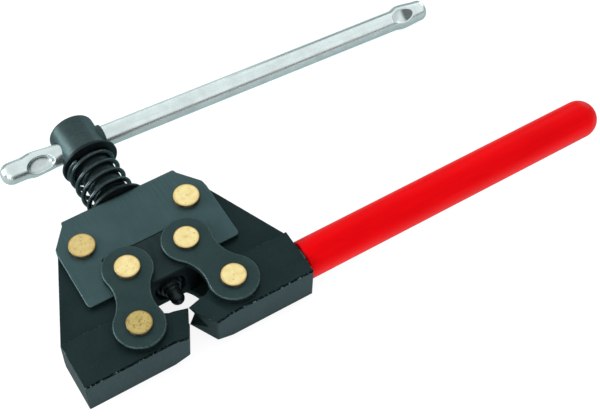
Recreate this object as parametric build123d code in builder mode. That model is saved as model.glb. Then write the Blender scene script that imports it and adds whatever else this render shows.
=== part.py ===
"""Roller-chain breaker: two hinged jaws, four toggle links, a sliding nut block and a sprung pressure screw.

Frame: X across the tool towards the handled jaw, Y up the pressure screw towards its hub, Z square to the
link plates. Origin on the punch axis at mid-thickness, level with the top edge of the closed jaw tips.
"""

import os
from math import atan2, cos, degrees, hypot, radians, sin, sqrt

from build123d import *

os.makedirs("parts", exist_ok=True)

# pivots of the linkage, given for the right-hand side
bridge_pivot = (25.4, 47.6)
block_pivot = (14.2, 26.9)
jaw_pivot = (22.3, 0.5)

# fits
running = 0.05
static = 0.02
play = 0.12

# rivets
rivet_r = 4.0
bridge_head_r = 6.0
bridge_head_h = 2.35
link_head_r = 5.7
link_head_h = 1.8
head_round = 0.6

# bridge yoke
yoke_half = 9.95
yoke_plate = 2.65
yoke_inner = yoke_half - yoke_plate
yoke_top = 64.85
web_under = yoke_top - yoke_plate
shoulder_x = 36.3
shoulder_y = 50.4
neck_x = 27.4
leg_bottom = 19.6
notch_x = 21.25
notch_top = 37.9
bend_r = 2.2
yoke_break = 0.3

# nut block
block_half = 10.0
block_x = notch_x - 0.15
block_top = 37.4
block_bottom = 16.1
block_foot_x = 13.0
block_taper_y = 24.0

# links
link_in = block_half + running
link_thick = 3.15
link_out = link_in + link_thick
link_r = 11.2
link_waist = 7.6

# jaws
jaw_half = 9.5
jaw_milled = yoke_inner - 0.1
jaw_step_y = 10.2
jaw_boss_r = 10.8
jaw_end_x = 54.0
jaw_bottom = -12.9
jaw_tip_x = 0.05
jaw_tip_foot_x = 6.9
jaw_tip_half = 7.2
jaw_inner_x = 21.8
groove_depth = 2.8
groove_run = 9.2
groove_lean = 2.0
jaw_break = 0.4

# handle
handle_y = -1.15
rod_r = 6.35
rod_start = 32.0
rod_end = 206.0
grip_r = 9.0
grip_start = 55.4
grip_end = 217.5

# pressure screw
screw_r = 7.15
screw_end = 17.3
neck_r = 8.2
neck_start = 71.5
hub_r = 10.9
hub_bottom = 94.2
hub_top = 113.9
hub_round = 1.5
rim_r = 6.1
rim_end = 11.5
bar_y = 103.8
punch_r = 3.15
punch_tip = 7.3
shoulder_r = 3.8
shoulder_end = 14.0
collar_r = 4.9
collar_end = 15.7
collar_teeth = 28
socket_top = 29.0

# spring and washers
washer_t = 1.5
lower_washer_r = 13.6
upper_washer_r = 13.5
spring_r = 11.0
spring_x = -0.7
wire_r = 0.9
dead_turns = 0.66
live_turns = 4.16

# T-bar, measured along itself from the hub's axis
bar_r = 5.15
bar_turn = 4.25
bar_left = -38.9
bar_right = 194.3
left_round = 4.7
right_round = 3.2
crimps = ((-21.0, 50), (182.2, 29))
crimp_long = 6.7
crimp_wide = 5.7
crimp_half = 3.1


def yoke_outline():
    """Corner points of the yoke's flat outline, right side then left side."""
    right = [
        (neck_x, yoke_top),
        (neck_x + 0.6, web_under),
        (shoulder_x - 0.5, shoulder_y + 2.0),
        (shoulder_x, shoulder_y - 1.4),
        (shoulder_x, leg_bottom),
        (notch_x, leg_bottom),
        (notch_x, notch_top),
    ]
    return right + [(-x, y) for x, y in reversed(right)]


with BuildPart() as yoke:
    with BuildSketch(Plane.XY.offset(-yoke_half)):
        with BuildLine():
            Polyline(*yoke_outline(), close=True)
        make_face()
    extrude(amount=2 * yoke_half)
    leg_corners = yoke.edges().filter_by(Axis.Z).group_by(Axis.Y)[0]
    fillet(leg_corners, radius=1.8)
    notch_corners = (
        yoke.edges()
        .filter_by(Axis.Z)
        .filter_by_position(Axis.Y, notch_top - 0.1, notch_top + 0.1)
    )
    fillet(notch_corners, radius=0.9)
    shoulder_corners = (
        yoke.edges()
        .filter_by(Axis.Z)
        .filter_by_position(Axis.Y, shoulder_y - 3, shoulder_y + 4)
    )
    fillet(shoulder_corners, radius=1.6)
    bend_edges = yoke.edges().filter_by(Axis.X).group_by(Axis.Y)[-1]
    fillet(bend_edges, radius=bend_r)
    outer_faces = yoke.faces().filter_by(Plane.XY)
    sheet_edges = outer_faces.edges().filter_by_position(Axis.Y, leg_bottom - 1, yoke_top - bend_r - 0.1)
    chamfer(sheet_edges, length=yoke_break)
    with BuildSketch(Plane.YZ.offset(-shoulder_x - 2)):
        with Locations(((leg_bottom - 4 + web_under) / 2, 0)):
            RectangleRounded(web_under - leg_bottom + 4, 2 * yoke_inner, 0.6)
    extrude(amount=2 * shoulder_x + 4, mode=Mode.SUBTRACT)
    with BuildSketch(Plane.XZ.offset(-yoke_top - 1)):
        Circle(neck_r + 0.3)
    extrude(amount=yoke_plate + 2, mode=Mode.SUBTRACT)
    with BuildSketch(Plane.XY.offset(-yoke_half)):
        with Locations(bridge_pivot, (-bridge_pivot[0], bridge_pivot[1])):
            Circle(rivet_r + static)
    extrude(amount=2 * yoke_half, mode=Mode.SUBTRACT)
yoke.part.label = "bridge_yoke"
export_step(yoke.part, "parts/bridge_yoke.step")


def rivet(at, inner, head_r, head_h):
    """A round rivet through both sides, its heads starting at +-inner."""
    with BuildPart() as piece:
        with BuildSketch(Plane.XY.offset(-inner)):
            with Locations(at):
                Circle(rivet_r)
        extrude(amount=2 * inner)
        for start, out in ((inner, 1), (-inner, -1)):
            with BuildSketch(Plane.XY.offset(start)):
                with Locations(at):
                    Circle(head_r)
            extrude(amount=out * head_h)
        rims = piece.edges().filter_by(GeomType.CIRCLE).sort_by(Axis.Z)
        fillet([rims[0], rims[-1]], radius=head_round)
    return piece.part


sides = (("left", -1), ("right", 1))
for side, s in sides:
    bridge_rivet = rivet((s * bridge_pivot[0], bridge_pivot[1]), yoke_half, bridge_head_r, bridge_head_h)
    bridge_rivet.label = f"bridge_rivet_{side}"
    export_step(bridge_rivet, f"parts/bridge_rivet_{side}.step")
    block_rivet = rivet((s * block_pivot[0], block_pivot[1]), link_out + running, link_head_r, link_head_h)
    block_rivet.label = f"block_rivet_{side}"
    export_step(block_rivet, f"parts/block_rivet_{side}.step")
    jaw_rivet = rivet((s * jaw_pivot[0], jaw_pivot[1]), link_out + running, link_head_r, link_head_h)
    jaw_rivet.label = f"jaw_rivet_{side}"
    export_step(jaw_rivet, f"parts/jaw_rivet_{side}.step")


# the jaw's outer edge runs from its lower corner to touch the round boss
corner = (jaw_end_x, jaw_step_y + 0.4)
reach = hypot(corner[0] - bridge_pivot[0], corner[1] - bridge_pivot[1])
slope = atan2(bridge_pivot[1] - corner[1], bridge_pivot[0] - corner[0])
swing = atan2(jaw_boss_r, sqrt(reach**2 - jaw_boss_r**2))
run = sqrt(reach**2 - jaw_boss_r**2)
boss_touch = (corner[0] + run * cos(slope - swing), corner[1] + run * sin(slope - swing))
boss_foot_y = bridge_pivot[1] - sqrt(jaw_boss_r**2 - (bridge_pivot[0] - jaw_inner_x) ** 2)


def jaw(s):
    """One jaw; s is +1 for the right jaw and -1 for the left."""

    def at(x, y):
        return (s * x, y)

    with BuildPart() as piece:
        with BuildSketch(Plane.XY.offset(-jaw_half)):
            with BuildLine():
                Polyline(
                    at(jaw_inner_x, boss_foot_y),
                    at(*bridge_pivot),
                    at(*boss_touch),
                    at(*corner),
                    at(jaw_end_x, jaw_bottom),
                    at(jaw_tip_foot_x, jaw_bottom),
                    at(jaw_tip_x, 0),
                    at(8.6, 0.8),
                    at(10.6, 1.9),
                )
                ThreePointArc(at(10.6, 1.9), at(17.6, 8.3), at(jaw_inner_x, 18.5))
                Line(at(jaw_inner_x, 18.5), at(jaw_inner_x, boss_foot_y))
            make_face()
            with Locations(at(*bridge_pivot)):
                Circle(jaw_boss_r)
        extrude(amount=2 * jaw_half)
        # both faces are milled back where the jaw enters the yoke
        for top in (1, -1):
            with BuildSketch(Plane.XY.offset(top * jaw_milled)):
                with Locations(at(30, jaw_step_y + 30)):
                    Rectangle(60, 60)
            extrude(amount=top * 5, mode=Mode.SUBTRACT)
        # both faces thin towards the tip
        crease_x, crease_y = 7.5, -0.4
        lean = (-0.8912 * s, -0.4537, 6.3 / (jaw_half - jaw_tip_half))
        for top in (1, -1):
            face = Plane(
                origin=(s * crease_x, crease_y, top * jaw_half),
                z_dir=(lean[0], lean[1], top * lean[2]),
            )
            with BuildSketch(face):
                Rectangle(60, 60)
            extrude(amount=8, mode=Mode.SUBTRACT)
        # V groove down the tip
        groove_top = 1.0
        apex = jaw_tip_x + groove_depth - groove_top * groove_lean / groove_run
        wide = 6.0
        spread = jaw_tip_half * (wide + groove_depth) / groove_depth
        with BuildSketch(Plane(origin=(0, groove_top, 0), x_dir=(1, 0, 0), z_dir=(0, -1, 0))):
            with BuildLine():
                Polyline(
                    (s * apex, 0),
                    (s * (apex - wide - groove_depth), spread),
                    (s * (apex - wide - groove_depth), -spread),
                    close=True,
                )
            make_face()
        extrude(
            amount=20,
            dir=(s * groove_lean / groove_run, -1, 0),
            mode=Mode.SUBTRACT,
        )
        under = piece.faces().filter_by(Axis.Y).sort_by(Axis.Y)[0]
        chamfer(under.edges(), length=jaw_break)
        with BuildSketch(Plane.XY.offset(-jaw_half)):
            with Locations(at(*bridge_pivot)):
                Circle(rivet_r + running)
            with Locations(at(*jaw_pivot)):
                Circle(rivet_r + static)
        extrude(amount=2 * jaw_half, mode=Mode.SUBTRACT)
        if s > 0:
            with BuildSketch(Plane.YZ.offset(rod_start)):
                with Locations((handle_y, 0)):
                    Circle(rod_r + static)
            extrude(amount=jaw_end_x - rod_start, mode=Mode.SUBTRACT)
    return piece.part


left_jaw = jaw(-1)
left_jaw.label = "left_jaw"
export_step(left_jaw, "parts/left_jaw.step")
right_jaw = jaw(1)
right_jaw.label = "right_jaw"
export_step(right_jaw, "parts/right_jaw.step")

with BuildPart() as rod:
    with BuildSketch(Plane.YZ.offset(rod_start)):
        with Locations((handle_y, 0)):
            Circle(rod_r)
    extrude(amount=rod_end - rod_start)
    chamfer(rod.edges().filter_by(GeomType.CIRCLE), length=0.8)
rod.part.label = "handle_rod"
export_step(rod.part, "parts/handle_rod.step")

with BuildPart() as grip:
    with BuildSketch(Plane.XY) as grip_half:
        with BuildLine():
            Polyline(
                (grip_end, handle_y),
                (rod_end + 0.1, handle_y),
                (rod_end + 0.1, handle_y + rod_r + static),
                (grip_start, handle_y + rod_r + static),
                (grip_start, handle_y + grip_r),
                (grip_end - grip_r, handle_y + grip_r),
            )
            RadiusArc((grip_end - grip_r, handle_y + grip_r), (grip_end, handle_y), grip_r)
        make_face()
    revolve(axis=Axis((0, handle_y, 0), (1, 0, 0)))
    fillet(grip.edges().filter_by(GeomType.CIRCLE).group_by(Axis.X)[0].sort_by(SortBy.RADIUS)[-1], radius=0.7)
grip.part.label = "handle_grip"
export_step(grip.part, "parts/handle_grip.step")

with BuildPart() as block:
    with BuildSketch(Plane.XY.offset(-block_half)):
        with BuildLine():
            Polyline(
                (block_foot_x, block_bottom),
                (block_x, block_taper_y),
                (block_x, block_top - 1.2),
                (block_x - 1.2, block_top),
                (-block_x + 1.2, block_top),
                (-block_x, block_top - 1.2),
                (-block_x, block_taper_y),
                (-block_foot_x, block_bottom),
                close=True,
            )
        make_face()
    extrude(amount=2 * block_half)
    with BuildSketch(Plane.XZ.offset(-block_top)):
        Circle(screw_r + running)
    extrude(amount=block_top - block_bottom, mode=Mode.SUBTRACT)
    mouth = block.edges().filter_by(GeomType.CIRCLE).group_by(Axis.Y)[0]
    chamfer(mouth, length=0.7)
    with BuildSketch(Plane.XY.offset(-block_half)):
        with Locations(block_pivot, (-block_pivot[0], block_pivot[1])):
            Circle(rivet_r + static)
    extrude(amount=2 * block_half, mode=Mode.SUBTRACT)
block.part.label = "nut_block"
export_step(block.part, "parts/nut_block.step")


def link(s, start, thick):
    """A dog-bone link from the block pivot to the jaw pivot, from height start."""
    along = degrees(atan2(jaw_pivot[1] - block_pivot[1], s * (jaw_pivot[0] - block_pivot[0])))
    middle = (s * (block_pivot[0] + jaw_pivot[0]) / 2, (block_pivot[1] + jaw_pivot[1]) / 2)
    half = hypot(jaw_pivot[0] - block_pivot[0], jaw_pivot[1] - block_pivot[1]) / 2
    waist_r = (half**2 + link_waist**2 - link_r**2) / (2 * (link_r - link_waist))
    waist_y = waist_r + link_waist
    share = link_r / (link_r + waist_r)
    with BuildPart() as piece:
        face = Plane(origin=(*middle, start), x_dir=(cos(radians(along)), sin(radians(along)), 0))
        with BuildSketch(face):
            Rectangle(2 * half * (1 - share), 2 * waist_y * share)
            with Locations((0, waist_y), (0, -waist_y)):
                Circle(waist_r, mode=Mode.SUBTRACT)
            with Locations((half, 0), (-half, 0)):
                Circle(link_r)
        extrude(amount=thick)
        chamfer(piece.edges().group_by(Axis.Z)[-1], length=0.4)
        chamfer(piece.edges().group_by(Axis.Z)[0], length=0.2)
        with BuildSketch(face):
            with Locations((-half, 0)):
                Circle(rivet_r + running)
            with Locations((half, 0)):
                Circle(rivet_r + play)
        extrude(amount=thick, mode=Mode.SUBTRACT)
    return piece.part


for side, s in sides:
    front = link(s, link_in, link_thick)
    front.label = f"{side}_link_front"
    export_step(front, f"parts/{side}_link_front.step")
    rear = link(s, -link_out, link_thick)
    rear.label = f"{side}_link_rear"
    export_step(rear, f"parts/{side}_link_rear.step")

bar_axis = (cos(radians(bar_turn)), 0, -sin(radians(bar_turn)))
bar_plane = Plane(origin=(0, bar_y, 0), x_dir=(0, 1, 0), z_dir=bar_axis)

with BuildPart() as screw:
    with BuildSketch(Plane.XZ.offset(-screw_end)):
        Circle(screw_r)
    extrude(amount=-(hub_bottom - screw_end))
    chamfer(screw.edges().filter_by(GeomType.CIRCLE).group_by(Axis.Y)[0], length=1.1)
    with BuildSketch(Plane.XZ.offset(-neck_start)):
        Circle(neck_r)
    extrude(amount=-(hub_bottom - neck_start))
    with BuildSketch(Plane.XZ.offset(-hub_bottom)):
        Circle(hub_r)
    extrude(amount=-(hub_top - hub_bottom))
    fillet(screw.edges().filter_by(GeomType.CIRCLE).group_by(Axis.Y)[-1], radius=hub_round)
    # a raised rim where the bar leaves the hub on the right
    with BuildSketch(bar_plane.offset(hub_r - 3)):
        Circle(rim_r)
    extrude(amount=rim_end - hub_r + 3)
    with BuildSketch(bar_plane.offset(-hub_r - 2)):
        Circle(bar_r + 0.2)
    extrude(amount=2 * hub_r + 5, mode=Mode.SUBTRACT)
    with BuildSketch(Plane.XZ.offset(-screw_end)):
        Circle(punch_r + static)
    extrude(amount=-(socket_top - screw_end), mode=Mode.SUBTRACT)
screw.part.label = "pressure_screw"
export_step(screw.part, "parts/pressure_screw.step")

with BuildPart() as punch:
    with BuildSketch(Plane.XZ.offset(-punch_tip)):
        Circle(punch_r)
    extrude(amount=-(socket_top - punch_tip))
    fillet(punch.edges().filter_by(GeomType.CIRCLE).group_by(Axis.Y)[0], radius=punch_r - 0.1)
    with BuildSketch(Plane.XZ.offset(-shoulder_end)):
        Circle(shoulder_r)
    extrude(amount=-(collar_end - shoulder_end))
    with BuildSketch(Plane.XZ.offset(-collar_end)):
        Circle(collar_r)
        with PolarLocations(collar_r + 0.1, collar_teeth):
            Circle(0.32, mode=Mode.SUBTRACT)
    extrude(amount=-(screw_end - collar_end))
punch.part.label = "punch_pin"
export_step(punch.part, "parts/punch_pin.step")

for name, low, outer_r in (
    ("spring_lower_washer", yoke_top, lower_washer_r),
    ("spring_upper_washer", hub_bottom - washer_t, upper_washer_r),
):
    with BuildPart() as washer:
        with BuildSketch(Plane.XZ.offset(-low)):
            Circle(outer_r)
            Circle(neck_r + running + 0.03, mode=Mode.SUBTRACT)
        extrude(amount=-washer_t)
        chamfer(washer.edges().filter_by(GeomType.CIRCLE).sort_by(SortBy.RADIUS)[-2:], length=0.25)
    washer.part.label = name
    export_step(washer.part, f"parts/{name}.step")

# closed ends lying flat on the washers, open coils between
seat = yoke_top + washer_t + wire_r + static
crown = hub_bottom - washer_t - wire_r - static
live_start = -360 * live_turns
dead_arc = 360 * dead_turns


def wound(path):
    """Round wire swept along a path."""
    with BuildPart() as stretch:
        with BuildSketch(Plane(origin=path @ 0, z_dir=path % 0)):
            Circle(wire_r)
        sweep(path=path, is_frenet=True)
    return stretch.part


# wound standing on Z with the live coils ending at +X, then laid along the screw
with BuildPart() as upright:
    with BuildLine() as lower_end:
        CenterArc((0, 0), spring_r, live_start - dead_arc, dead_arc)
    with BuildLine() as live_coils:
        Helix(pitch=(crown - seat) / live_turns, height=crown - seat, radius=spring_r)
    with BuildLine() as upper_end:
        CenterArc((0, 0), spring_r, 0, dead_arc)
    add(wound(lower_end.line).translate((0, 0, seat)))
    add(wound(live_coils.line).rotate(Axis.Z, live_start).translate((0, 0, seat)))
    add(wound(upper_end.line).translate((0, 0, crown)))
    with Locations((spring_r * cos(radians(live_start)), spring_r * sin(radians(live_start)), seat)):
        Sphere(wire_r)
    with Locations((spring_r, 0, crown)):
        Sphere(wire_r)
with BuildPart() as spring:
    add(upright.part.rotate(Axis.X, -90).translate((spring_x, 0, 0)))
spring.part.label = "return_spring"
export_step(spring.part, "parts/return_spring.step")

with BuildPart() as bar:
    with BuildSketch(bar_plane.offset(bar_left)):
        Circle(bar_r)
    extrude(amount=bar_right - bar_left)
    ends = bar.edges().filter_by(GeomType.CIRCLE).sort_by(Axis.X)
    fillet(ends[0], radius=left_round)
    fillet(ends[-1], radius=right_round)
    # at each crimp two facing flats are pressed in and the metal bulges sideways
    for spot, turned in crimps:
        across = Vector(0, 1, 0).rotate(Axis((0, 0, 0), bar_axis), turned)
        flat_face = Plane(origin=(0, bar_y, 0), x_dir=bar_axis, z_dir=Vector(*bar_axis).cross(across))
        with BuildSketch(flat_face.offset(-crimp_half)):
            with Locations((spot, 0)):
                Ellipse(crimp_long, crimp_wide)
        extrude(amount=2 * crimp_half)
        for top in (1, -1):
            with BuildSketch(flat_face.offset(top * crimp_half)):
                with Locations((spot, 0)):
                    Ellipse(crimp_long - 0.6, crimp_wide - 0.75)
            extrude(amount=top * bar_r, mode=Mode.SUBTRACT)
bar.part.label = "t_bar"
export_step(bar.part, "parts/t_bar.step")
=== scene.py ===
"""Roller-chain breaker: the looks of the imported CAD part."""

import math

import bmesh
import bpy
import numpy as np
from mathutils import Matrix, Vector


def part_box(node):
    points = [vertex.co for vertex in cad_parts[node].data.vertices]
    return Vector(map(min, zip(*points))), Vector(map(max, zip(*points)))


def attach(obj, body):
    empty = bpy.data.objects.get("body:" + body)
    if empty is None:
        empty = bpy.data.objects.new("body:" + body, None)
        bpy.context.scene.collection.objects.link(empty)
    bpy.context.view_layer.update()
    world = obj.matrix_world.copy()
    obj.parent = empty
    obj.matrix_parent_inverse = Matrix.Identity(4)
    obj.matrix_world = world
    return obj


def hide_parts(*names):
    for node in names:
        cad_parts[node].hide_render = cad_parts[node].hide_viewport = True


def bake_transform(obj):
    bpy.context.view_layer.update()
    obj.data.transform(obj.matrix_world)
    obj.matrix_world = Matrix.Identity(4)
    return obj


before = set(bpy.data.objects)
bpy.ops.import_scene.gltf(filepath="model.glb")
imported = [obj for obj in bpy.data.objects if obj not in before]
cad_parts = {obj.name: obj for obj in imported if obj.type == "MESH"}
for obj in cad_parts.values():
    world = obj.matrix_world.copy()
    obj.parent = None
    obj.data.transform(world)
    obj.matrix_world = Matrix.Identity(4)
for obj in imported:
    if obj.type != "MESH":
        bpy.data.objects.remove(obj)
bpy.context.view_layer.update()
scene = bpy.context.scene
MM = 0.001

# sizes of the T-bar, which its plating and its mesh share
BAR_R = 5.15 * MM
BAR_Y = 103.8 * MM
BAR_TURN = math.radians(4.25)
FLAT_AT, FLAT_LONG = -21.0 * MM, 6.7 * MM
BOWL_AT, BOWL_LONG = 179.2 * MM, 6.4 * MM

# ---------------------------------------------------------------- node helpers


class Mat:
    """A Principled material with short calls for the nodes that feed it."""

    def __init__(self, name):
        self.mat = bpy.data.materials.new(name)
        self.mat.use_nodes = True
        self.tree = self.mat.node_tree
        self.tree.nodes.clear()
        self.out = self.tree.nodes.new("ShaderNodeOutputMaterial")
        self.bsdf = self.tree.nodes.new("ShaderNodeBsdfPrincipled")
        self.tree.links.new(self.bsdf.outputs[0], self.out.inputs["Surface"])
        self.coords = self.tree.nodes.new("ShaderNodeTexCoord")
        self.geometry = self.tree.nodes.new("ShaderNodeNewGeometry")

    def put(self, socket, value):
        """Feed a socket from another node or with a value; None leaves it as it is."""
        if isinstance(value, bpy.types.NodeSocket):
            self.tree.links.new(value, socket)
        elif value is not None:
            if socket.type == "RGBA" and len(value) == 3:
                value = (*value, 1.0)
            socket.default_value = value

    def set(self, **values):
        for key, value in values.items():
            self.put(self.bsdf.inputs[key.replace("_", " ")], value)

    def math(self, op, a, b=None):
        node = self.tree.nodes.new("ShaderNodeMath")
        node.operation = op
        self.put(node.inputs[0], a)
        self.put(node.inputs[1], b)
        return node.outputs[0]

    def plus(self, a, b):
        return self.math("ADD", a, b)

    def minus(self, a, b):
        return self.math("SUBTRACT", a, b)

    def times(self, a, b):
        return self.math("MULTIPLY", a, b)

    def distance(self, a, b):
        """Length of the hypotenuse over two sides."""
        return self.math("SQRT", self.plus(self.math("POWER", a, 2.0), self.math("POWER", b, 2.0)))

    def vector(self, op, a, b):
        node = self.tree.nodes.new("ShaderNodeVectorMath")
        node.operation = op
        self.put(node.inputs[0], a)
        self.put(node.inputs[1], b)
        return node.outputs["Value" if op == "DOT_PRODUCT" else "Vector"]

    def stretched(self, scale, at=None):
        """Object coordinates in millimetres, or another place, times a scale per axis."""
        return self.vector("MULTIPLY", at or self.coords.outputs["Object"], [1000 * s for s in scale])

    def noise(self, at, detail=3.0, rough=0.55):
        node = self.tree.nodes.new("ShaderNodeTexNoise")
        self.put(node.inputs["Vector"], at)
        node.inputs["Scale"].default_value = 1.0
        node.inputs["Detail"].default_value = detail
        node.inputs["Roughness"].default_value = rough
        return node.outputs["Fac"]

    def band(self, value, low, high, to_low=0.0, to_high=1.0):
        """An eased step from one number to another as the value goes from low to high."""
        node = self.tree.nodes.new("ShaderNodeMapRange")
        node.interpolation_type = "SMOOTHSTEP"
        span = {"Value": value, "From Min": low, "From Max": high, "To Min": to_low, "To Max": to_high}
        for key, number in span.items():
            self.put(node.inputs[key], number)
        return node.outputs["Result"]

    def mix(self, share, a, b):
        node = self.tree.nodes.new("ShaderNodeMix")
        node.data_type = "RGBA"
        self.put(node.inputs["Factor"], share)
        self.put(node.inputs["A"], a)
        self.put(node.inputs["B"], b)
        return node.outputs["Result"]

    def seen_by_camera(self):
        return self.tree.nodes.new("ShaderNodeLightPath").outputs["Is Camera Ray"]

    def parts(self, vector):
        node = self.tree.nodes.new("ShaderNodeSeparateXYZ")
        self.put(node.inputs[0], vector)
        return node.outputs

    def edges(self, radius):
        """Rounded normal, and how far it departs from the flat one."""
        node = self.tree.nodes.new("ShaderNodeBevel")
        node.samples = 6
        node.inputs["Radius"].default_value = radius
        dot = self.vector("DOT_PRODUCT", node.outputs[0], self.geometry.outputs["True Normal"])
        return node.outputs[0], self.minus(1.0, dot)

    def bump(self, height, depth, normal=None):
        node = self.tree.nodes.new("ShaderNodeBump")
        node.inputs["Strength"].default_value = 1.0
        node.inputs["Distance"].default_value = depth
        self.put(node.inputs["Height"], height)
        self.put(node.inputs["Normal"], normal)
        return node.outputs[0]


# ---------------------------------------------------------------- materials

# how strongly black oxide shines, and the cold cast of its shine
SHINE = 0.22
COOL = (0.66, 0.92, 1.0)


def scaled(colour, share):
    return [c * share for c in colour]


def shade_cut_sides(m, colour, level, dark, sides):
    """Painted shade on the cut sides of a plate: they are darker and duller than its faces."""
    flat = m.math("ABSOLUTE", m.parts(m.geometry.outputs["Normal"])[2])
    cut = m.band(flat, 0.6, 0.3, 0.0, sides)
    return m.mix(cut, colour, scaled(dark, 0.1)), m.times(level, m.minus(1.0, cut))


def painted_shade_below(m, colour, level, dark, shade):
    """Painted shade below a height: darker and duller steel."""
    shaded = m.band(m.parts(m.coords.outputs["Object"])[1], shade, shade - 0.4 * MM, 0.0, 0.72)
    return m.mix(shaded, colour, scaled(dark, 0.25)), m.times(level, m.minus(1.0, shaded))


def burr_shaded_rim(m, colour, level, dark, worn, torn_at, flaky):
    """A ragged rim of painted burr shade on the faces above a cut face and in patches on the chamfers beside
    it, and bright worn flecks on those chamfers.
    """
    wander = m.noise(m.stretched((1.1, 1.1, 1.1)), detail=5.0, rough=0.7)
    rise = m.minus(m.parts(m.coords.outputs["Object"])[1], torn_at)
    rise = m.minus(rise, m.times(wander, 1.5 * MM))
    facing = m.parts(m.geometry.outputs["Normal"])
    level_face = m.math("ABSOLUTE", facing[2])
    rim_shade = m.times(m.band(rise, 0.25 * MM, -0.1 * MM, 0.0, 0.9), m.band(level_face, 0.80, 0.95))
    slant = m.times(m.band(facing[1], -0.3, -0.5), m.band(level_face, 0.4, 0.55))
    rim_shade = m.math("MAXIMUM", rim_shade, m.times(slant, m.band(wander, 0.60, 0.52, 0.0, 0.9)))
    colour = m.mix(rim_shade, colour, scaled(dark, 0.12))
    bare = m.math("MAXIMUM", slant, m.times(rim_shade, 0.4))
    colour = m.mix(m.times(m.band(flaky, 0.54, 0.64, 0.0, 0.8), bare), colour, worn)
    return colour, m.times(level, m.minus(1.0, rim_shade))


def oxide(
    name,
    dark,
    light,
    worn,
    brushed,
    lines=0.5,
    rough=0.46,
    grain=1.0,
    rim=0.35,
    ragged=0.5,
    metal=0.5,
    strip=None,
    shade=None,
    torn_at=None,
    sides=None,
):
    """Black-oxide steel: soft blotches, fine grain, brushed lines along an axis and worn edges.

    brushed is the frequency of the lines per axis and lines their share of the tone. rim is how bright the
    worn edges get and ragged how broken they are. strip is the band of height over which the lines grow
    strong. shade is a height below which painted shade darkens the steel, torn_at the height of a cut face
    whose rim carries painted shade and worn flecks, and sides how dark the painted shade on the cut sides of
    a plate is.
    """
    m = Mat(name)
    blotch = m.noise(m.stretched((0.05, 0.05, 0.05)), detail=5.0, rough=0.6)
    streak = m.noise(m.stretched(brushed), detail=4.0, rough=0.65)
    fine = m.noise(m.stretched((3.2, 3.2, 3.2)), detail=3.0, rough=0.6)
    pits = m.noise(m.stretched((0.9, 0.9, 0.9)), detail=6.0, rough=0.7)
    flaky = m.noise(m.stretched((0.8, 0.8, 0.8)), detail=6.0, rough=0.75)
    burr = m.noise(m.stretched((0.5, 0.5, 0.5)), detail=5.0, rough=0.7)

    share = lines
    if strip is not None:
        height = m.parts(m.coords.outputs["Object"])[1]
        share = m.band(height, strip[0], strip[1], lines, lines + 0.6)
    tone = m.plus(m.times(blotch, m.minus(1.0, share)), m.times(streak, share))
    colour = m.mix(m.band(tone, 0.34, 0.66), dark, light)
    colour = m.mix(m.band(fine, 0.62, 0.74, 0.0, 0.18), colour, worn)

    rounded, bent = m.edges(0.35 * MM)
    # painted shade: a dark broken line along the edges, as their burrs shade them
    burr_shade = m.times(m.band(bent, 0.004, 0.03), m.band(burr, 0.44, 0.52, 0.0, 0.9 * ragged))
    colour = m.mix(burr_shade, colour, scaled(dark, 0.3))
    level = SHINE
    if sides is not None:
        colour, level = shade_cut_sides(m, colour, level, dark, sides)
    broken = 0.34 + 0.16 * ragged
    edge = m.times(m.band(bent, 0.02, 0.10), m.band(flaky, broken, broken + 0.10, 0.0, rim))
    colour = m.mix(edge, colour, worn)
    if shade is not None:
        colour, level = painted_shade_below(m, colour, level, dark, shade)
    if torn_at is not None:
        colour, level = burr_shaded_rim(m, colour, level, dark, worn, torn_at, flaky)

    height = m.plus(m.times(streak, lines), m.plus(m.times(fine, 0.30), m.times(pits, 0.5)))
    m.set(
        Base_Color=colour,
        Metallic=metal,
        Roughness=m.plus(rough, m.times(m.minus(pits, 0.5), 0.25)),
        Normal=m.bump(height, 0.03 * MM * grain, rounded),
        Specular_IOR_Level=level,
        Specular_Tint=COOL,
    )
    return m.mat


def rivet_gold(name, tone, stain, blotchy):
    """A rivet head: pale gold ground top with specks, a centre dot and a dull rim, and dark sides."""
    m = Mat(name)
    top = m.band(m.math("ABSOLUTE", m.parts(m.geometry.outputs["Normal"])[2]), 0.72, 0.90)
    gx, gy, _ = m.parts(m.coords.outputs["Generated"])
    off = m.distance(m.minus(gx, 0.5), m.minus(gy, 0.5))
    specks = m.noise(m.stretched((0.75, 0.75, 0.75)), detail=8.0, rough=0.74)
    cloud = m.noise(m.stretched((0.35, 0.35, 0.35)), detail=4.0, rough=0.6)
    grit = m.noise(m.stretched((5.0, 5.0, 5.0)), detail=2.0)
    gold = m.mix(m.band(cloud, 0.35, 0.68), tone, [0.90 * tone[0], 0.85 * tone[1], 0.74 * tone[2]])
    gold = m.mix(m.band(specks, 0.57 - blotchy, 0.68 - blotchy, 0.0, 0.85), gold, stain)
    gold = m.mix(m.band(off, 0.035, 0.015, 0.0, 0.6), gold, stain)
    gold = m.mix(m.band(off, 0.41, 0.46, 0.0, 0.8), gold, [0.62 * tone[0], 0.50 * tone[1], 0.32 * tone[2]])
    side = m.mix(m.band(cloud, 0.4, 0.6), (0.020, 0.026, 0.024), (0.10, 0.085, 0.050))
    rounded, _ = m.edges(0.25 * MM)
    height = m.plus(m.times(specks, 0.7), m.times(grit, 0.3))
    m.set(
        Base_Color=m.mix(top, side, gold),
        Metallic=0.45,
        Roughness=m.plus(0.36, m.times(specks, 0.25)),
        Normal=m.bump(height, 0.05 * MM, rounded),
    )
    return m.mat


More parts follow.
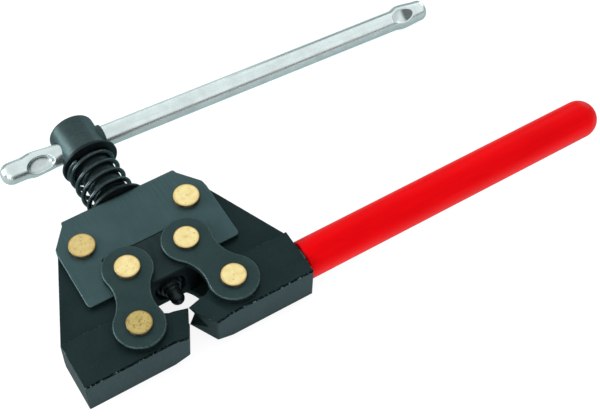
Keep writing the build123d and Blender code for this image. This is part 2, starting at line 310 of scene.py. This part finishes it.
def bright_plate(name, along, colour=(0.80, 0.875, 0.875), rough=0.27, dents=()):
    """Bright zinc plate with long draw lines along an axis and faint cloudy patches.

    Each of the dents has a place along the axis, a half length, the darkness of its near and far halves, and
    how dull it is.
    """
    m = Mat(name)
    turn = m.tree.nodes.new("ShaderNodeVectorRotate")
    turn.rotation_type = "Y_AXIS"
    m.put(turn.inputs["Vector"], m.coords.outputs["Object"])
    turn.inputs["Angle"].default_value = -along
    streaks = m.noise(m.stretched((0.02, 1.5, 1.5), turn.outputs[0]), detail=5.0, rough=0.7)
    cloud = m.noise(m.stretched((0.12, 0.12, 0.12)), detail=5.0, rough=0.65)
    fine = m.noise(m.stretched((4.0, 4.0, 4.0)), detail=2.0)
    tone = m.mix(m.band(cloud, 0.35, 0.7), colour, scaled(colour, 0.86))
    tone = m.mix(m.band(streaks, 0.55, 0.72, 0.0, 0.35), tone, scaled(colour, 0.62))
    metal = 0.93
    u, v, w = m.parts(turn.outputs[0])
    off = m.distance(m.minus(v, BAR_Y), w)
    for place, half, near, far, dull in dents:
        past = m.minus(u, place)
        within = m.band(m.math("ABSOLUTE", past), half + 0.6 * MM, half)
        within = m.times(within, m.band(off, BAR_R - 0.10 * MM, BAR_R - 0.35 * MM))
        dark = m.band(past, -0.4 * MM, 2.2 * MM, near, far)
        tone = m.mix(m.times(within, dark), tone, scaled(colour, 0.06))
        metal = m.minus(metal, m.times(within, dull))
    height = m.plus(m.times(streaks, 0.8), m.times(fine, 0.2))
    m.set(
        Base_Color=tone,
        Metallic=metal,
        Roughness=m.plus(rough, m.times(m.minus(cloud, 0.5), 0.25)),
        Normal=m.bump(height, 0.018 * MM),
        Specular_Tint=(0.72, 0.95, 0.97),
    )
    return m.mat


def vinyl(name):
    """Dipped vinyl with a faint orange-peel surface; it lends no red to what lies round it."""
    m = Mat(name)
    peel = m.noise(m.stretched((0.45, 0.45, 0.45)), detail=2.0)
    run = m.noise(m.stretched((0.03, 0.25, 0.25)), detail=3.0)
    dust = m.noise(m.stretched((2.5, 2.5, 2.5)), detail=4.0, rough=0.7)
    colour = m.mix(m.band(run, 0.3, 0.7), (0.72, 0.0006, 0.0025), (0.80, 0.0010, 0.0035))
    colour = m.mix(m.band(dust, 0.66, 0.78, 0.0, 0.06), colour, (0.9, 0.25, 0.22))
    seen = m.seen_by_camera()
    height = m.plus(m.times(peel, 0.6), m.times(run, 0.8))
    m.set(
        Base_Color=m.mix(seen, (0.20, 0.16, 0.16), colour),
        Roughness=m.plus(0.34, m.times(dust, 0.10)),
        Normal=m.bump(height, 0.05 * MM),
        Specular_IOR_Level=0.12,
        Specular_Tint=(1.0, 0.22, 0.22),
    )
    return m.mat


# brightness of the floor to the camera, in reflections, where it is dimmed as painted shadow, and in
# reflections of its part in front of the jaws
FLOOR_SEEN = 0.86
FLOOR_GLOW = 0.32
FRONT_GLOW = 1.0


def plain_floor(name):
    """A pale sweep lit from within as a light table is, dimmed in reflections as painted shadow except in
    front of the jaws, and cooler in reflections under the T-bar.
    """
    m = Mat(name)
    soft = m.noise(m.stretched((0.02, 0.02, 0.02)), detail=2.0)
    along = m.parts(m.geometry.outputs["Position"])[1]
    cool = m.mix(m.band(along, 60 * MM, 75 * MM), (1.0, 1.0, 1.0), (0.78, 1.0, 1.0))
    # painted shadow: in reflections the floor glows dimly behind the front of the jaws and fully in front of
    # them
    glow = m.band(along, -13 * MM, -18 * MM, FLOOR_GLOW, FRONT_GLOW)
    seen = m.seen_by_camera()
    m.set(
        Base_Color=m.mix(soft, (0.24, 0.24, 0.24), (0.26, 0.26, 0.26)),
        Roughness=0.9,
        Specular_IOR_Level=0.0,
        Emission_Color=m.mix(seen, cool, (1.0, 1.0, 1.0)),
        Emission_Strength=m.plus(glow, m.times(seen, m.minus(FLOOR_SEEN, glow))),
    )
    return m.mat


# each oxide finish: its dark and light tones, the tone of worn edges, and the lines per axis
jaw_steel = oxide(
    "jaw_steel",
    (0.0085, 0.0180, 0.0185),
    (0.0125, 0.0245, 0.0250),
    (0.20, 0.30, 0.31),
    (0.10, 0.9, 0.4),
    lines=0.12,
    rim=0.6,
    ragged=1.0,
    torn_at=-12.9 * MM,
)
plate_steel = oxide(
    "plate_steel",
    (0.040, 0.074, 0.077),
    (0.054, 0.094, 0.098),
    (0.26, 0.38, 0.40),
    (1.3, 0.05, 1.3),
    lines=0.25,
    rough=0.44,
    ragged=0.4,
    strip=(52 * MM, 60 * MM),
    sides=0.75,
)
link_steel = oxide(
    "link_steel",
    (0.0215, 0.041, 0.041),
    (0.030, 0.054, 0.054),
    (0.34, 0.46, 0.46),
    (0.5, 0.5, 0.5),
    lines=0.2,
    rough=0.42,
    grain=0.7,
    rim=0.7,
    ragged=0.15,
    sides=0.75,
)
block_steel = oxide(
    "block_steel",
    (0.012, 0.022, 0.022),
    (0.022, 0.036, 0.037),
    (0.10, 0.14, 0.14),
    (0.5, 0.1, 0.5),
    # painted shade on the block's underside, which the jaws keep from the light
    shade=17.2 * MM,
)
screw_steel = oxide(
    "screw_steel",
    (0.030, 0.048, 0.049),
    (0.050, 0.074, 0.076),
    (0.22, 0.30, 0.31),
    (0.4, 1.6, 0.4),
    rough=0.40,
    grain=0.6,
    metal=0.7,
    # painted shade on the screw below the hub, inside the spring
    shade=94.2 * MM,
)
punch_steel = oxide(
    "punch_steel",
    (0.016, 0.022, 0.023),
    (0.040, 0.052, 0.053),
    (0.20, 0.26, 0.27),
    (0.6, 1.6, 0.6),
    rough=0.32,
    grain=0.5,
    metal=0.7,
)
spring_steel = oxide(
    "spring_steel",
    (0.030, 0.044, 0.046),
    (0.062, 0.084, 0.087),
    (0.22, 0.28, 0.29),
    (0.8, 0.8, 0.8),
    rough=0.26,
    grain=0.4,
    rim=0.2,
    metal=0.9,
)
washer_black = oxide(
    "washer_black",
    (0.008, 0.012, 0.012),
    (0.020, 0.028, 0.029),
    (0.14, 0.19, 0.20),
    (0.6, 0.6, 0.6),
    rough=0.40,
    rim=0.4,
    metal=0.7,
)
gold = rivet_gold("gold", (0.92, 0.76, 0.37), (0.42, 0.28, 0.09), 0.0)
gold_worn = rivet_gold("gold_worn", (0.72, 0.56, 0.24), (0.34, 0.23, 0.08), 0.03)
gold_stained = rivet_gold("gold_stained", (0.55, 0.43, 0.15), (0.22, 0.15, 0.05), 0.07)
flat_dent = (FLAT_AT, FLAT_LONG, 0.18, 0.18, 0.0)
# painted shade: the bowl darkens towards its far half, and it is duller all over
bowl_dent = (BOWL_AT, BOWL_LONG, 0.0, 0.90, 0.70)
zinc = bright_plate("zinc", BAR_TURN, dents=(flat_dent, bowl_dent))
rod_zinc = bright_plate("rod_zinc", 0.0, (0.70, 0.72, 0.72), 0.3)
red_vinyl = vinyl("red_vinyl")

# ---------------------------------------------------------------- CAD pieces shown as they are

FINISHES = {
    "left_jaw": jaw_steel,
    "right_jaw": jaw_steel,
    "bridge_yoke": plate_steel,
    "nut_block": block_steel,
    "left_link_front": link_steel,
    "left_link_rear": link_steel,
    "right_link_front": link_steel,
    "right_link_rear": link_steel,
    "bridge_rivet_left": gold_worn,
    "bridge_rivet_right": gold,
    "block_rivet_left": gold,
    "block_rivet_right": gold,
    "jaw_rivet_left": gold_stained,
    "jaw_rivet_right": gold,
    "punch_pin": punch_steel,
    "spring_upper_washer": washer_black,
    "spring_lower_washer": washer_black,
    "handle_rod": rod_zinc,
    "handle_grip": red_vinyl,
}
for node, finish in FINISHES.items():
    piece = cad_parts[node]
    piece.data.materials.clear()
    piece.data.materials.append(finish)

# ---------------------------------------------------------------- meshes


def grid_mesh(name, points, finish):
    """A smooth tube with flat ends from rings of points, shape (rings, around, 3), in metres."""
    rings, around = points.shape[:2]
    faces = []
    for i in range(rings - 1):
        for j in range(around):
            k = (j + 1) % around
            faces.append((i * around + j, i * around + k, (i + 1) * around + k, (i + 1) * around + j))
    faces.append(tuple(reversed(range(around))))
    faces.append(tuple((rings - 1) * around + j for j in range(around)))
    mesh = bpy.data.meshes.new(name)
    mesh.from_pydata(points.reshape(-1, 3).tolist(), [], faces)
    mesh.update()
    made = bmesh.new()
    made.from_mesh(mesh)
    bmesh.ops.recalc_face_normals(made, faces=made.faces)
    made.to_mesh(mesh)
    made.free()
    for face in mesh.polygons:
        face.use_smooth = len(face.vertices) == 4
    obj = bpy.data.objects.new(name, mesh)
    scene.collection.objects.link(obj)
    mesh.materials.append(finish)
    return obj


# return spring: one mesh below and one above a plane
low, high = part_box("return_spring")
WIRE_R = 1.08 * MM
WIRE_SIDES = 20
# the coil keeps just inside the CAD solid's box
INSET = 0.1 * MM
COIL_R = (high.x - low.x) / 2 - WIRE_R - INSET
COIL_X = (high.x + low.x) / 2
# the spring is loose on the neck and lies towards its rear side
SLACK = 1.2 * MM
seat_y, crown_y = low.y + WIRE_R, high.y - WIRE_R
LIVE_TURNS, DEAD_TURNS = 4.16, 0.66
TURN_STEPS = 72
# travel of the block in the bridge and of the screw in the block, which share the spring between them
PRESS, FEED = 2.8 * MM, 6.35 * MM


def coil_height(turn):
    """Height of the wire's centre after so many turns, flat on the washer at both ends."""
    ease = 0.1
    ends = [-LIVE_TURNS - DEAD_TURNS, -LIVE_TURNS - ease, -LIVE_TURNS + ease, -ease, ease, DEAD_TURNS]
    rate_at = [0, 0, 1, 1, 0, 0]
    fine = np.linspace(ends[0], ends[-1], 4001)
    rate = np.interp(fine, ends, rate_at)
    rise = np.concatenate([[0], np.cumsum((rate[1:] + rate[:-1]) / 2 * np.diff(fine))])
    return seat_y + np.interp(turn, fine, rise) * (crown_y - seat_y) / rise[-1]


def spring_part(name, first, last):
    """Round wire between two turns, and the height of the ring that each of its vertices is on."""
    steps = int((last - first) * TURN_STEPS) + 2
    turn = np.linspace(first, last, steps)
    angle = 2 * np.pi * turn
    coil = [COIL_X + COIL_R * np.cos(angle), coil_height(turn), -COIL_R * np.sin(angle) - SLACK]
    centre = np.stack(coil, 1)
    tangent = np.gradient(centre, axis=0)
    tangent /= np.linalg.norm(tangent, axis=1)[:, None]
    outward = np.stack([np.cos(angle), np.zeros_like(angle), -np.sin(angle)], 1)
    up = np.cross(tangent, outward)
    up /= np.linalg.norm(up, axis=1)[:, None]
    ring = np.linspace(0, 2 * np.pi, WIRE_SIDES, endpoint=False)
    points = (
        centre[:, None, :]
        + WIRE_R * np.cos(ring)[None, :, None] * outward[:, None, :]
        + WIRE_R * np.sin(ring)[None, :, None] * up[:, None, :]
    )
    obj = grid_mesh(name, points, spring_steel)
    return obj, np.repeat(centre[:, 1], WIRE_SIDES)


split_turn = -LIVE_TURNS + LIVE_TURNS * PRESS / (PRESS + FEED)
split_y = float(coil_height(split_turn))
spring_low, low_heights = spring_part("return_spring_low", -LIVE_TURNS - DEAD_TURNS, split_turn)
spring_high, high_heights = spring_part("return_spring_high", split_turn, DEAD_TURNS)
for obj, heights, bodies, foot, head in (
    (spring_low, low_heights, ("bridge", "block"), seat_y, split_y),
    (spring_high, high_heights, ("block", "feed"), split_y, crown_y),
):
    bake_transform(obj)
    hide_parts("return_spring")

# T-bar: each crimp is two facing dents with the metal bulging sideways; the left one is flat-floored and the
# right one a bowl
BAR_ENDS = (-38.9 * MM, 194.3 * MM)
ROUNDS = (4.7 * MM, 3.2 * MM)
SWELL_FROM, SWELL_RISE = -7.5 * MM, 5 * MM
SWELL_TO, SWELL_FALL = -2.5 * MM, 12 * MM
BAR_SIDES, BAR_RINGS = 128, 90
CRIMP_REACH, CRIMP_STEP = 12 * MM, 0.25 * MM
left_crimp = {
    "at": FLAT_AT,
    "turn": math.radians(50),
    "swell": (0.75 * MM, 0.75 * MM),
    "dent_at": FLAT_AT,
    "half_long": FLAT_LONG,
    "half_wide": 4.4 * MM,
    "floor": 2.75 * MM,
    "steepness": 6,
}
right_crimp = {
    "at": 182.2 * MM,
    "turn": math.radians(29),
    "swell": (1.2 * MM, 0.7 * MM),
    "dent_at": BOWL_AT,
    "half_long": BOWL_LONG,
    "half_wide": 6.0 * MM,
    "floor": 2.9 * MM,
    "steepness": 1.6,
}


def smooth(x):
    x = np.clip(x, 0, 1)
    return x * x * (3 - 2 * x)


def bar_stations():
    """Places of the rings along the bar, close together at the crimps and at the rounded ends."""
    stations = set(np.round(np.linspace(BAR_ENDS[0], BAR_ENDS[1], BAR_RINGS), 6))
    for crimp in (left_crimp, right_crimp):
        near = np.arange(crimp["at"] - CRIMP_REACH, crimp["at"] + CRIMP_REACH, CRIMP_STEP)
        stations |= set(np.round(near, 6))
    angles = np.linspace(0.02, math.pi / 2, 16)
    for end, inward, deep in ((BAR_ENDS[0], 1, ROUNDS[0]), (BAR_ENDS[1], -1, ROUNDS[1])):
        stations |= {round(end + inward * deep * (1 - math.cos(a)), 7) for a in angles}
    return np.array(sorted(stations))


def crimped(u, side, out, crimp):
    """Swell the bar across the crimp and press its two dents, which are turned from +Z towards -Y."""
    c, s = math.cos(crimp["turn"]), math.sin(crimp["turn"])
    # w runs across the dent towards +Y, h square to it
    w, h = side * c + out * s, out * c - side * s
    past = u - crimp["at"]
    swell = smooth((past - SWELL_FROM) / SWELL_RISE) * (1 - smooth((past - SWELL_TO) / SWELL_FALL))
    up, down = crimp["swell"]
    w = w * (1 + swell * np.where(w > 0, up, down) / BAR_R)
    ring = ((u - crimp["dent_at"]) / crimp["half_long"]) ** 2 + (w / crimp["half_wide"]) ** 2
    dent = crimp["floor"] + (BAR_R - crimp["floor"]) * ring ** (crimp["steepness"] / 2)
    h = np.sign(h) * np.minimum(np.abs(h), dent)
    return w * c - h * s, w * s + h * c


def t_bar():
    """The round bar with its rounded ends and its two crimps."""
    around = np.linspace(0, 2 * np.pi, BAR_SIDES, endpoint=False)
    u, phi = np.meshgrid(bar_stations(), around, indexing="ij")
    radius = np.full_like(u, BAR_R)
    for depth, deep in ((u - BAR_ENDS[0], ROUNDS[0]), (BAR_ENDS[1] - u, ROUNDS[1])):
        inset = np.clip(1 - depth / deep, 0, 1)
        radius = radius - deep * (1 - np.sqrt(np.clip(1 - inset**2, 0, 1)))
    side, out = radius * np.cos(phi), radius * np.sin(phi)
    for crimp in (left_crimp, right_crimp):
        side, out = crimped(u, side, out, crimp)
    c, s = math.cos(BAR_TURN), math.sin(BAR_TURN)
    points = np.stack([u * c + out * s, BAR_Y + side, -u * s + out * c], -1)
    return grid_mesh("t_bar_crimped", points, zinc)


bar = t_bar()
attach(bar, "t_bar")
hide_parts("t_bar")

# pressure screw: the hub and neck from the CAD mesh, the threaded length as a real thread
CUT_Y = 56.5 * MM
hub_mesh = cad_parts["pressure_screw"].data.copy()
work = bmesh.new()
work.from_mesh(hub_mesh)
geom = work.verts[:] + work.edges[:] + work.faces[:]
bmesh.ops.bisect_plane(work, geom=geom, plane_co=(0, CUT_Y, 0), plane_no=(0, 1, 0), clear_inner=True)
work.to_mesh(hub_mesh)
work.free()
hub_mesh.materials.clear()
hub_mesh.materials.append(screw_steel)
hub = bpy.data.objects.new("screw_hub", hub_mesh)
scene.collection.objects.link(hub)
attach(hub, "screw")
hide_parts("pressure_screw")

SCREW_END = 17.3 * MM
PITCH = 25.4 / 12 * MM
CREST_R, ROOT_R, NECK_R = 7.11 * MM, 5.95 * MM, 7.15 * MM
NOSE_R = 5.9 * MM
RUNOUT = 3 * MM
# a tooth is a wedge cut flat at the crest: its height if it were not cut, and how fast it falls per turn
TOOTH_TOP, TOOTH_FALL = 1.25, 2.9
THREAD_SIDES, RINGS_PER_TURN = 64, 14
# a ring this little past the cut still counts
REACH = 0.06 * MM


def screw_thread():
    """The thread up to the neck, with a 45 degree nose at its lower end and a runout at its upper end."""
    heights = np.arange(SCREW_END, CUT_Y + REACH, PITCH / RINGS_PER_TURN)
    around = np.linspace(0, 2 * np.pi, THREAD_SIDES, endpoint=False)
    y, phi = np.meshgrid(heights, around, indexing="ij")
    phase = (y / PITCH + phi / (2 * np.pi)) % 1.0
    tooth = np.clip(TOOTH_TOP - TOOTH_FALL * np.abs(phase - 0.5), 0, 1)
    runout = np.clip((y - CUT_Y + RUNOUT) / RUNOUT, 0, 1)
    radius = ROOT_R + (CREST_R - ROOT_R) * np.maximum(tooth, runout)
    radius = radius + (NECK_R - CREST_R) * runout
    radius = np.minimum(radius, NOSE_R + y - SCREW_END)
    points = np.stack([radius * np.cos(phi), y, radius * np.sin(phi)], -1)
    return grid_mesh("screw_thread", points, screw_steel)


thread = screw_thread()
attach(thread, "screw")
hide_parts("pressure_screw")

# ---------------------------------------------------------------- floor, light, camera

# the tool lies on its rear jaw rivets and the far end of the T-bar, a hair above the floor
rivet_foot = Vector((0, 0.5, -15.05)) * MM
FLOOR_GAP = 0.05 * MM
FLOOR_SIZE = 30.0
# share of the bar's radius at which it counts as resting
REST_SHARE = 0.98
bar_end = BAR_ENDS[1]
bar_low = -bar_end * math.sin(BAR_TURN) - BAR_R * REST_SHARE
tilt = math.atan2(bar_low - rivet_foot.z, BAR_Y - rivet_foot.y)
floor_at = rivet_foot - Vector((0, 0, FLOOR_GAP))
bpy.ops.mesh.primitive_plane_add(size=FLOOR_SIZE, location=floor_at, rotation=(tilt, 0, 0))
floor = bpy.context.object
floor.name = "floor"
floor.data.materials.append(plain_floor("floor_white"))

# brightness of the sky by height: dim at the horizon and below it, then bright up to the top
SKY = ((0.0, 0.10), (0.24, 0.12), (0.38, 1.0), (0.60, 1.0), (0.85, 0.92), (1.0, 0.90))


def studio_sky():
    """A world that is lit from above, whose darker parts are also cooler."""
    world = bpy.data.worlds.new("studio")
    world.use_nodes = True
    nodes, links = world.node_tree.nodes, world.node_tree.links
    nodes.clear()
    world_out = nodes.new("ShaderNodeOutputWorld")
    sky = nodes.new("ShaderNodeBackground")
    coords = nodes.new("ShaderNodeTexCoord")
    split = nodes.new("ShaderNodeSeparateXYZ")
    ramp = nodes.new("ShaderNodeValToRGB")
    links.new(coords.outputs["Generated"], split.inputs[0])
    links.new(split.outputs["Z"], ramp.inputs["Fac"])
    stops = ramp.color_ramp.elements
    for index, (height, tone) in enumerate(SKY):
        stop = stops[index] if index < 2 else stops.new(height)
        stop.position = height
        stop.color = (tone * (0.78 + 0.19 * tone), tone, tone, 1)
    links.new(ramp.outputs["Color"], sky.inputs["Color"])
    links.new(sky.outputs[0], world_out.inputs["Surface"])
    return world


scene.world = studio_sky()


def softbox(name, at, look, size, power):
    """A rectangular lamp, with its place and size in metres and its power in watts."""
    lamp = bpy.data.lights.new(name, "AREA")
    lamp.shape = "RECTANGLE"
    lamp.size, lamp.size_y = size
    lamp.energy = power
    obj = bpy.data.objects.new(name, lamp)
    scene.collection.objects.link(obj)
    obj.location = at
    obj.rotation_mode = "QUATERNION"
    obj.rotation_quaternion = (Vector(look) - Vector(at)).to_track_quat("-Z", "Y")
    return obj


CENTRE = (0.06, 0.03, 0.0)
softbox("key", (-0.90, 0.54, 0.28), CENTRE, (0.5, 0.5), 9.0)
softbox("front", (-0.9, -0.8, 0.45), CENTRE, (0.8, 0.25), 5.0)
softbox("right", (1.10, 0.58, 0.20), CENTRE, (0.6, 0.6), 2.5)
# a low card behind the hub, seen only as a pale line along the near half of the T-bar
card = softbox("card", (0.13, 0.43, 0.05), (0.0, BAR_Y, 0.0), (0.18, 0.16), 0.07)
card.visible_camera = False

AZIMUTH, ELEVATION, ROLL = math.radians(-33.82), math.radians(56.42), math.radians(-2.66)
TARGET = Vector((65.92, 17.89, 7.98)) * MM
DISTANCE = 575.9 * MM
# both in millimetres, as the camera takes them
LENS, SENSOR = 78.41, 36.0
level = Vector((math.sin(AZIMUTH), -math.cos(AZIMUTH), 0))
back = level * math.cos(ELEVATION) + Vector((0, 0, math.sin(ELEVATION)))
camera = bpy.data.objects.new("camera", bpy.data.cameras.new("camera"))
scene.collection.objects.link(camera)
camera.data.lens, camera.data.sensor_width = LENS, SENSOR
camera.data.clip_start, camera.data.clip_end = 0.01, 50.0
camera.location = TARGET + back * DISTANCE
camera.rotation_mode = "QUATERNION"
upright = (-back).to_track_quat("-Z", "Y")
camera.rotation_quaternion = upright @ Matrix.Rotation(-ROLL, 3, "Z").to_quaternion()
scene.camera = camera
scene.view_settings.view_transform = "Standard"
